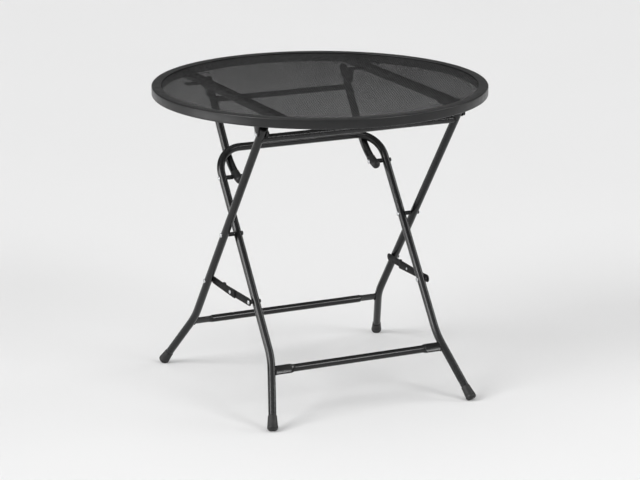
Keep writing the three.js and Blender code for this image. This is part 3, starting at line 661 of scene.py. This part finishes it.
def faces_of(node):
    low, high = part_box(node)
    return low.x, high.x


def add_shank(shape, pivot, x_from, length):
    profile = [(0, AXIS_RADIUS), (0, SHANK_RADIUS), (length, SHANK_RADIUS), (length, AXIS_RADIUS)]
    return add_turned(shape, profile, pivot + X_AXIS * x_from, X_AXIS, 24)


for kind, pivot, body in (
    ("cross", CROSS, "outer_legs"),
    ("arm", ARM_PIVOT, "inner_legs"),
    ("rear", REAR_PIVOT, "arms"),
    ("front", FRONT_PIVOT, "table_top"),
):
    for side, sign in SIDES:
        bolt_low, bolt_high = faces_of(f"{kind}_bolt_{side}")
        nut_low, nut_high = faces_of(f"{kind}_nut_{side}")
        head_face = bolt_low + HEAD_HEIGHT
        bolt = dome_head(Shape(), head_face, pivot, HEAD_RADIUS, HEAD_HEIGHT, -1)
        shank_end = nut_high - 0.001 if kind != "front" else bolt_high
        add_shank(bolt, pivot, head_face, shank_end - head_face)
        make(f"{kind}_head_{side}", bolt, ZINC, body, [f"{kind}_bolt_{side}"])
        if kind == "front":
            nut = hex_nut(Shape(), nut_low + EAR_THICKNESS, pivot, FRONT_NUT_ACROSS, FRONT_NUT_HEIGHT, 1,
                          NUT_TURNS[kind], FRONT_NUT_TIP)
            add_shank(nut, pivot, nut_low, EAR_THICKNESS)
        else:
            nut = hex_nut(Shape(), nut_low, pivot, NUT_ACROSS, NUT_HEIGHT, 1, NUT_TURNS[kind], NUT_TIP)
        # The nut on the +X side is near black as painted shade
        make(f"{kind}_hexnut_{side}", nut, PAINTED_SHADE_HARDWARE, body, [f"{kind}_nut_{side}"])
        if kind in ("cross", "arm"):
            low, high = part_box(f"{kind}_spacer_{side}")
            outer = (high.z - low.z) / 2
            length = high.x - low.x
            profile = [
                (0, SLEEVE_BORE), (0, outer - SLEEVE_EDGE), (SLEEVE_EDGE, outer),
                (length - SLEEVE_EDGE, outer), (length, outer - SLEEVE_EDGE), (length, SLEEVE_BORE),
            ]
            ring = add_turned(Shape(), profile, pivot + X_AXIS * low.x, X_AXIS)
            make(f"{kind}_sleeve_{side}", ring, SLEEVE, body, [f"{kind}_spacer_{side}"])

# ---- Stays

STAY_HALF_WIDTH = 0.0087
STAY_THICKNESS = 0.0025
INNER_OVERRUN = 0.042
OUTER_OVERRUN = 0.025
TAB_LENGTH = 0.008
TAB_RISE = 0.0024
TAB_THICKNESS = 0.0016
TAB_REACH = 0.0056
STAY_BEVEL = 0.0005
STAY_PIN_RADIUS = 0.0024
SHOULDER_RADIUS = 0.0048
WASHER_RADIUS = 0.0049
# Rivet heads and tails, each a radius and a height
MIDDLE_HEAD = (0.0046, 0.0014)
MIDDLE_TAIL = (0.003, 0.0012)
OUTER_POST_HEAD = (0.0047, 0.0024)
OUTER_POST_TAIL = (0.0038, 0.0014)
INNER_POST_HEAD = (0.0049, 0.002)
INNER_POST_TAIL = (0.0047, 0.002)


def link_outline(start, end, overrun, tab):
    """A link, round at its leg pivot. It runs past the middle rivet to a square end or a stop tab."""
    along = (end - start).normalized()
    up = Vector((0, -along.z, along.y))
    if up.z < 0:
        up = -up
    half = STAY_HALF_WIDTH
    outline = []
    steps = 20
    for k in range(steps + 1):
        angle = math.pi / 2 + math.pi * k / steps
        outline.append(start + along * (half * math.cos(angle)) + up * (half * math.sin(angle)))
    corner = 0.0018
    for centre_up, turn in ((-half + corner, -math.pi / 2), (half - corner, 0)):
        if tab and turn == 0:
            break
        for k in range(5):
            angle = turn + math.pi / 2 * k / 4
            outline.append(end + along * (overrun - corner + corner * math.cos(angle))
                           + up * (centre_up + corner * math.sin(angle)))
    if tab:
        outline.append(end + along * overrun + up * (half + TAB_RISE + TAB_THICKNESS))
        outline.append(end + along * (overrun - TAB_LENGTH) + up * (half + TAB_RISE + TAB_THICKNESS))
        outline.append(end + along * (overrun - TAB_LENGTH - 0.001) + up * (half + 0.0012))
        outline.append(end + along * (overrun - TAB_LENGTH - 0.003) + up * half)
    return outline, along, up


def flat_head(shape, face, pivot, radius, height, towards):
    """A low riveted head with a softened rim and a shallow dimple."""
    profile = [
        (0, AXIS_RADIUS), (0, radius), (height * 0.45, radius), (height * 0.75, radius * 0.95),
        (height * 0.95, radius * 0.82), (height, radius * 0.6), (height * 0.8, radius * 0.3),
        (height * 0.7, AXIS_RADIUS),
    ]
    return add_turned(shape, profile, pivot + X_AXIS * face, X_AXIS * towards, 32)


def pin_between(shape, pivot, x_from, x_to, radius, sides=32):
    low, high = sorted((x_from, x_to))
    edge = min(0.0003, (high - low) / 3)
    profile = [
        (0, AXIS_RADIUS), (0, radius - edge), (edge, radius), (high - low - edge, radius),
        (high - low, radius - edge), (high - low, AXIS_RADIUS),
    ]
    return add_turned(shape, profile, pivot + X_AXIS * low, X_AXIS, sides)


for side, sign in SIDES:
    low, high = faces_of(f"stay_outer_link_{side}")
    outline, _, _ = link_outline(OUTER_STAY, STAY_MIDDLE, OUTER_OVERRUN, False)
    make(f"stay_bar_outer_{side}", add_plate(Shape(), outline, low, high, STAY_BEVEL), STAY_PAINT,
         f"stay_outer_{side}", [f"stay_outer_link_{side}"])
    outer_near, outer_far = sorted((abs(low), abs(high)))

    low, high = faces_of(f"stay_inner_link_{side}")
    inner_near = min(abs(low), abs(high))
    outline, along, up = link_outline(INNER_STAY, STAY_MIDDLE, INNER_OVERRUN, True)
    link = add_plate(Shape(), outline, sign * inner_near, sign * (inner_near + STAY_THICKNESS), STAY_BEVEL)
    corner = STAY_MIDDLE + along * (INNER_OVERRUN - TAB_LENGTH / 2)
    corner = corner + up * (STAY_HALF_WIDTH + TAB_RISE + TAB_THICKNESS / 2)
    tab_rings = []
    for x, draw in ((0.0004, 1), (TAB_REACH - 0.0006, 1), (TAB_REACH - 0.0002, 0.85), (TAB_REACH, 0.6)):
        tab_rings.append([corner + X_AXIS * (sign * (inner_near + x)) + along * (a * draw * (TAB_LENGTH / 2 - 0.0001))
                          + up * (b * draw * (TAB_THICKNESS / 2 - 0.0001))
                          for a, b in ((-1, -1), (1, -1), (1, 1), (-1, 1))])
    link.add_rings(tab_rings)
    make(f"stay_bar_inner_{side}", link, STAY_PAINT, f"stay_inner_{side}", [f"stay_inner_link_{side}"])

    # The middle rivet: a wide head on the outer link, a small tail on the inner one
    head = flat_head(Shape(), sign * (outer_far + CLEARANCE), STAY_MIDDLE, *MIDDLE_HEAD, sign)
    make(f"stay_pin_outer_{side}", head, ZINC, f"stay_outer_{side}", [f"stay_rivet_outer_{side}"])
    tail = flat_head(Shape(), sign * (inner_near - CLEARANCE), STAY_MIDDLE, *MIDDLE_TAIL, -sign)
    make(f"stay_pin_inner_{side}", tail, ZINC, f"stay_inner_{side}", [f"stay_rivet_inner_{side}"])

    # The rivet on the outer leg, with a shoulder between the leg and the link. The shoulder, and the head on the
    # right-hand leg, are near black as painted shade
    node = f"outer_stay_rivet_{side}"
    leg_out = OUTER_X + TUBE_RADIUS + CLEARANCE
    leg_in = OUTER_X - TUBE_RADIUS - CLEARANCE
    pin = pin_between(Shape(), OUTER_STAY, sign * (outer_near - 0.001), sign * leg_out, STAY_PIN_RADIUS)
    flat_head(pin, sign * leg_out, OUTER_STAY, *OUTER_POST_HEAD, sign)
    # The head is zinc on the left leg and near black on the right one, as painted shade
    make(f"stay_post_outer_{side}", pin, ZINC if sign < 0 else PAINTED_SHADE_HARDWARE, "outer_legs", [node])
    shoulder = pin_between(Shape(), OUTER_STAY, sign * (outer_far + CLEARANCE), sign * leg_in, SHOULDER_RADIUS)
    flat_head(shoulder, sign * (outer_near - CLEARANCE), OUTER_STAY, *OUTER_POST_TAIL, -sign)
    make(f"stay_shoulder_outer_{side}", shoulder, PAINTED_SHADE_HARDWARE, "outer_legs", [node])

    # The rivet on the inner leg: a zinc head facing -X and a washer facing +X, which is near black as painted shade
    node = f"inner_stay_rivet_{side}"
    leg_out = INNER_X + TUBE_RADIUS + CLEARANCE
    leg_in = INNER_X - TUBE_RADIUS - CLEARANCE
    link_face = inner_near + STAY_THICKNESS + CLEARANCE
    pin = pin_between(Shape(), INNER_STAY, sign * leg_in, sign * link_face, STAY_PIN_RADIUS)
    silver_face, shaded_side_face = (-link_face, -leg_in) if sign < 0 else (leg_in, link_face)
    flat_head(pin, silver_face, INNER_STAY, *INNER_POST_HEAD, -1)
    make(f"stay_post_inner_{side}", pin, ZINC, "inner_legs", [node])
    washer = pin_between(Shape(), INNER_STAY, sign * leg_out, sign * (inner_near - CLEARANCE), WASHER_RADIUS)
    flat_head(washer, shaded_side_face, INNER_STAY, *INNER_POST_TAIL, 1)
    make(f"stay_washer_inner_{side}", washer, PAINTED_SHADE_HARDWARE, "inner_legs", [node])

# ---- Support arms

arm_straight = (ARM_BEND_START - ARM_TOP).normalized()
arm_centre_side = Vector((0, arm_straight.z, -arm_straight.y))


def arm_bend(x, from_angle, to_angle, steps):
    stations = []
    for k in range(steps + 1):
        angle = from_angle + (to_angle - from_angle) * k / steps
        stations.append(
            ARM_BEND_START + X_AXIS * x
            + arm_straight * (ARM_BEND_RADIUS * math.sin(angle))
            + arm_centre_side * (ARM_BEND_RADIUS * (1 - math.cos(angle)))
        )
    return stations


for side, sign in SIDES:
    x = sign * ARM_X
    stations = [ARM_TOP + X_AXIS * x] + arm_bend(x, 0, ARM_BEND_ANGLE - 0.08, 24)
    arm = add_tube(Shape(), stations, TUBE_RADIUS, round_start=0.96)
    make(f"arm_tube_{side}", arm, PAINT, "arms", [f"arm_{side}"])
    cap_end = ARM_BEND_ANGLE - 0.83 * ARM_CAP_RADIUS / ARM_BEND_RADIUS
    cap_stations = arm_bend(x, ARM_BEND_ANGLE - ARM_CAP_ANGLE, cap_end, 16)
    cap = add_tube(Shape(), cap_stations, ARM_CAP_RADIUS, round_start=0.08, round_end=0.85)
    make(f"arm_end_cap_{side}", cap, PLASTIC, "arms", [f"arm_cap_{side}"])

bar_low, bar_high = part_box("arm_cross_bar")
arm_bar_centre = middle("arm_cross_bar") * Vector((0, 1, 1))
arm_bar_radius = (bar_high.z - bar_low.z) / 2
arm_bar = add_bar(Shape(), arm_bar_centre, ARM_X - TUBE_RADIUS * 0.4, arm_bar_radius)
for _, sign in SIDES:
    weld_bead(arm_bar, arm_bar_centre + X_AXIS * (sign * (ARM_X - TUBE_RADIUS + 0.001)), X_AXIS * sign,
              arm_bar_radius, TUBE_RADIUS, arm_straight, size=0.0014, waves=18)
make("arm_bar_tube", arm_bar, PAINT, "arms", ["arm_cross_bar"])

# ---- Rim

rim_low, rim_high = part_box("rim")
rim_radius = rim_high.x
rim_inner = rim_radius - RIM_WIDTH


def rounded_section(inner, outer, low, high, corner, steps=6):
    """A rounded rectangle of (radius, height) points."""
    section = []
    quarters = [(outer, low, -1, 1), (outer, high, -1, -1), (inner, high, 1, -1), (inner, low, 1, 1)]
    for quarter, (r, z, in_r, in_z) in enumerate(quarters):
        for k in range(steps + 1):
            angle = (quarter - 1 + k / steps) * math.pi / 2
            section.append((r + corner * (in_r + math.cos(angle)), z + corner * (in_z + math.sin(angle))))
    return section


CORNER_POINTS = 7
section = rounded_section(rim_inner, rim_radius, rim_low.z, rim_high.z, 0.0032, CORNER_POINTS - 1)
# The inner top corner is a thin lip over a shadow gap, which shows as a dark line
GAP_SECTION = (
    (0.0012, 0), (0.0004, 0.0003), (0, 0.0011), (0, 0.0014),
    (0.003, 0.0018), (0.003, 0.0038), (0, 0.0042),
)
section[2 * CORNER_POINTS : 3 * CORNER_POINTS] = [(rim_inner + out, rim_high.z - down) for out, down in GAP_SECTION]
rings = []
RIM_STEPS = 240
for i in range(RIM_STEPS):
    angle = 2 * math.pi * i / RIM_STEPS
    out = Vector((math.cos(angle), math.sin(angle), 0))
    rings.append([out * r + Vector((0, 0, z)) for r, z in section])
make("rim_ring", Shape().add_rings(rings, loop=True), RIM_PAINT, "table_top", ["rim"], 50)

# ---- Mesh panel: two crossing sets of strands

MESH_PITCH = 0.0050
STRAND_WIDTH = 0.00138
STRAND_THICKNESS = 0.00081
MESH_IN_RIM = 0.0031  # just past the back wall of the shadow gap, so that the strands end in the rim
panel_low, panel_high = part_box("mesh_panel")
mesh_height = panel_high.z - 0.0008
mesh_radius = rim_inner + MESH_IN_RIM
lattice = Shape()
STRAND_SECTION = ((-0.5, 0), (-0.3, -0.5), (0.3, -0.5), (0.5, 0), (0.3, 0.5), (-0.3, 0.5))
for family in (-1, 1):
    along = Vector((1, family, 0)).normalized()
    across = Vector((-along.y, along.x, 0))
    count = int(mesh_radius / MESH_PITCH)
    for k in range(-count, count + 1):
        offset = MESH_PITCH * (k + 0.5)
        if abs(offset) > mesh_radius - 0.001:
            continue
        reach = math.sqrt(mesh_radius**2 - offset**2)
        rings = []
        for end in (-1, 1):
            centre = across * offset + along * (end * reach) + Vector((0, 0, mesh_height + family * 0.0001))
            rings.append([centre + across * (a * STRAND_WIDTH) + Vector((0, 0, b * STRAND_THICKNESS))
                          for a, b in STRAND_SECTION])
        lattice.add_rings(rings)
make("mesh_strands", lattice, MESH_PAINT, "table_top", ["mesh_panel"], 70)

# ---- Rails

RAIL_BEAD = [(-0.0016, 0.0002), (-0.001, 0.0014), (0, 0.0019), (0.001, 0.0014), (0.0016, 0.0002)]

for side, sign in SIDES:
    low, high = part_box(f"rail_{side}")
    section = rounded_section(low.x, high.x, low.z, high.z, 0.0025, 4)
    rings = []
    for end in (-1, 1):
        ring = []
        for x, z in section:
            reach = math.sqrt((rim_inner + 0.0005) ** 2 - x * x)
            ring.append(Vector((x, end * reach, z)))
        rings.append(ring)
    rail = Shape().add_rings(rings)
    for end in (-1, 1):
        for k in range(BEAD_COUNT):
            x = low.x + (high.x - low.x) * (k + 0.5) / BEAD_COUNT
            reach = math.sqrt(rim_inner**2 - x * x)
            add_turned(rail, RAIL_BEAD, Vector((x, end * (reach - 0.0004), low.z + 0.0002)), X_AXIS, 10)
    make(f"rail_bar_{side}", rail, PAINT, "table_top", [f"rail_{side}"])

# ---- Brackets

FRONT_EAR_INNER_X = 0.228
FRONT_EAR_OUTER_X = 0.2495
FRONT_EAR_RADIUS = 0.0074
FRONT_PLATE_HALF = 0.016
REAR_PLATE_X = 0.1829
BRACKET_THICKNESS = 0.003
BRACKET_BEVEL = 0.0007
WELD_INSET = 0.002


def ear(pivot, radius, half_top, top):
    """A hanging ear in the side view, round at its pivot."""
    outline = []
    steps = 20
    for k in range(steps + 1):
        angle = math.pi + math.pi * k / steps
        outline.append(pivot + Vector((0, radius * math.cos(angle), radius * math.sin(angle))))
    outline.append(Vector((0, pivot.y + half_top, top)))
    outline.append(Vector((0, pivot.y - half_top, top)))
    return outline


def weld_line(shape, start, end, count, size=0.0016):
    along = (end - start).normalized()
    profile = [
        (-size, size * 0.12), (-size * 0.6, size * 0.75), (0, size), (size * 0.6, size * 0.75), (size, size * 0.12),
    ]
    for k in range(count):
        add_turned(shape, profile, start.lerp(end, (k + 0.5) / count), along, 10)


def add_top_plate(bracket, low, high, pivot, half, top):
    """The flat plate of a bracket, with a weld line at each end where it meets its rail."""
    add_block(bracket, (low.x, pivot.y - half, top - BRACKET_THICKNESS), (high.x, pivot.y + half, top), BRACKET_BEVEL)
    for edge in (-1, 1):
        y = pivot.y + edge * half
        start = Vector((rail_low.x + WELD_INSET, y, top))
        weld_line(bracket, start, Vector((rail_high.x - WELD_INSET, y, top)), BEAD_COUNT)


for side, sign in SIDES:
    rail_low, rail_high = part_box(f"rail_{side}")
    low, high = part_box(f"front_bracket_{side}")
    bracket_top = high.z
    bracket = Shape()
    outline = ear(FRONT_PIVOT, FRONT_EAR_RADIUS, FRONT_PLATE_HALF, bracket_top - 0.001)
    for ear_x in (FRONT_EAR_INNER_X, FRONT_EAR_OUTER_X):
        add_plate(bracket, outline, sign * ear_x, sign * ear_x + sign * EAR_THICKNESS, BRACKET_BEVEL)
    add_top_plate(bracket, low, high, FRONT_PIVOT, FRONT_PLATE_HALF, bracket_top)
    make(f"front_clevis_{side}", bracket, PAINT, "table_top", [f"front_bracket_{side}"])

    low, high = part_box(f"rear_bracket_{side}")
    plate_x = sign * REAR_PLATE_X
    half = (high.y - low.y) / 2
    bracket = Shape()
    outline = ear(REAR_PIVOT, half, half, bracket_top - 0.001)
    add_plate(bracket, outline, plate_x, plate_x + sign * BRACKET_THICKNESS, BRACKET_BEVEL)
    add_top_plate(bracket, low, high, REAR_PIVOT, half, bracket_top)
    make(f"rear_plate_{side}", bracket, PAINT, "table_top", [f"rear_bracket_{side}"])

# ---------------------------------------------------------------- Floor, lights and camera


def floor_material():
    material, nodes, links, shader = node_material("floor")
    place = nodes.new("ShaderNodeTexCoord").outputs["Object"]
    cloud = noise(nodes, links, place, 0.8, 2)
    tone = mix_colour(nodes, links, cloud, (0.80, 0.80, 0.80), (0.82, 0.82, 0.82))
    links.new(tone, shader.inputs["Base Color"])
    shader.inputs["Roughness"].default_value = 0.9
    shader.inputs["Specular IOR Level"].default_value = 0.1
    return material


floor_mesh = bpy.data.meshes.new("floor")
FLOOR_REACH = 30.0
floor_mesh.from_pydata(
    [(x * FLOOR_REACH, y * FLOOR_REACH, 0) for x, y in ((-1, -1), (1, -1), (1, 1), (-1, 1))],
    [], [(0, 1, 2, 3)],
)
floor = bpy.data.objects.new("floor", floor_mesh)
scene.collection.objects.link(floor)
floor_mesh.materials.append(floor_material())
floor.location.z = -0.0002
floor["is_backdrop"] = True

world = bpy.data.worlds.new("studio")
scene.world = world
world.use_nodes = True
background = world.node_tree.nodes["Background"]
background.inputs["Color"].default_value = (1, 1, 1, 1)
background.inputs["Strength"].default_value = 0.2


def add_light(name, light, azimuth, elevation):
    """Turns a light towards the table from that bearing (0 is +X, 90 is +Y) and height, in degrees."""
    azimuth, elevation = math.radians(azimuth), math.radians(elevation)
    flat = math.cos(elevation)
    source = Vector((math.cos(azimuth) * flat, math.sin(azimuth) * flat, math.sin(elevation)))
    lamp = bpy.data.objects.new(name, light)
    lamp.rotation_mode = "QUATERNION"
    lamp.rotation_quaternion = (-source).to_track_quat("-Z", "Y")
    scene.collection.objects.link(lamp)
    return lamp, source


def soft_sun(name, azimuth, elevation, spread, strength):
    light = bpy.data.lights.new(name, "SUN")
    light.angle = math.radians(spread)
    light.energy = strength
    add_light(name, light, azimuth, elevation)


soft_sun("key_left", 186, 32, 32, 1.9)
soft_sun("fill_front", -62, 29, 22, 1.0)
soft_sun("fill_right", -14, 28, 26, 0.62)
soft_sun("key_low", 158, 10, 18, 0.45)
soft_sun("soft_top", 140, 81, 60, 0.7)


def softbox(name, target, azimuth, elevation, distance, width, height, power):
    light = bpy.data.lights.new(name, "AREA")
    light.shape = "RECTANGLE"
    light.size = width
    light.size_y = height
    light.energy = power
    lamp, source = add_light(name, light, azimuth, elevation)
    lamp.location = Vector(target) + source * distance
    lamp.visible_camera = False
    return lamp


softbox("softbox_front", (-0.3, -0.8, 0), -112, 60, 2.6, 3.0, 3.0, 16)

# A low box for the gloss on the rim and legs. It leaves the floor as it is
low_box = softbox("softbox_low", (0, 0, 0.2), 178, 0, 2.3, 1.7, 0.38, 8)
floor_only = bpy.data.collections.new("floor_only")
floor_only.objects.link(floor)
low_box.light_linking.receiver_collection = floor_only
floor_only.collection_objects[0].light_linking.link_state = "EXCLUDE"

camera_data = bpy.data.cameras.new("camera")
camera_data.sensor_width = 36
camera_data.lens = 140.84
camera_data.clip_end = 100
camera = bpy.data.objects.new("camera", camera_data)
camera.location = (-2.365, -5.033, 1.865)
camera.rotation_euler = (math.radians(74.64), 0, math.radians(-25.17))
scene.collection.objects.link(camera)
scene.camera = camera
scene.view_settings.view_transform = "Standard"

# ---------------------------------------------------------------- Bounds of the shown pieces

low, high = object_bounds()
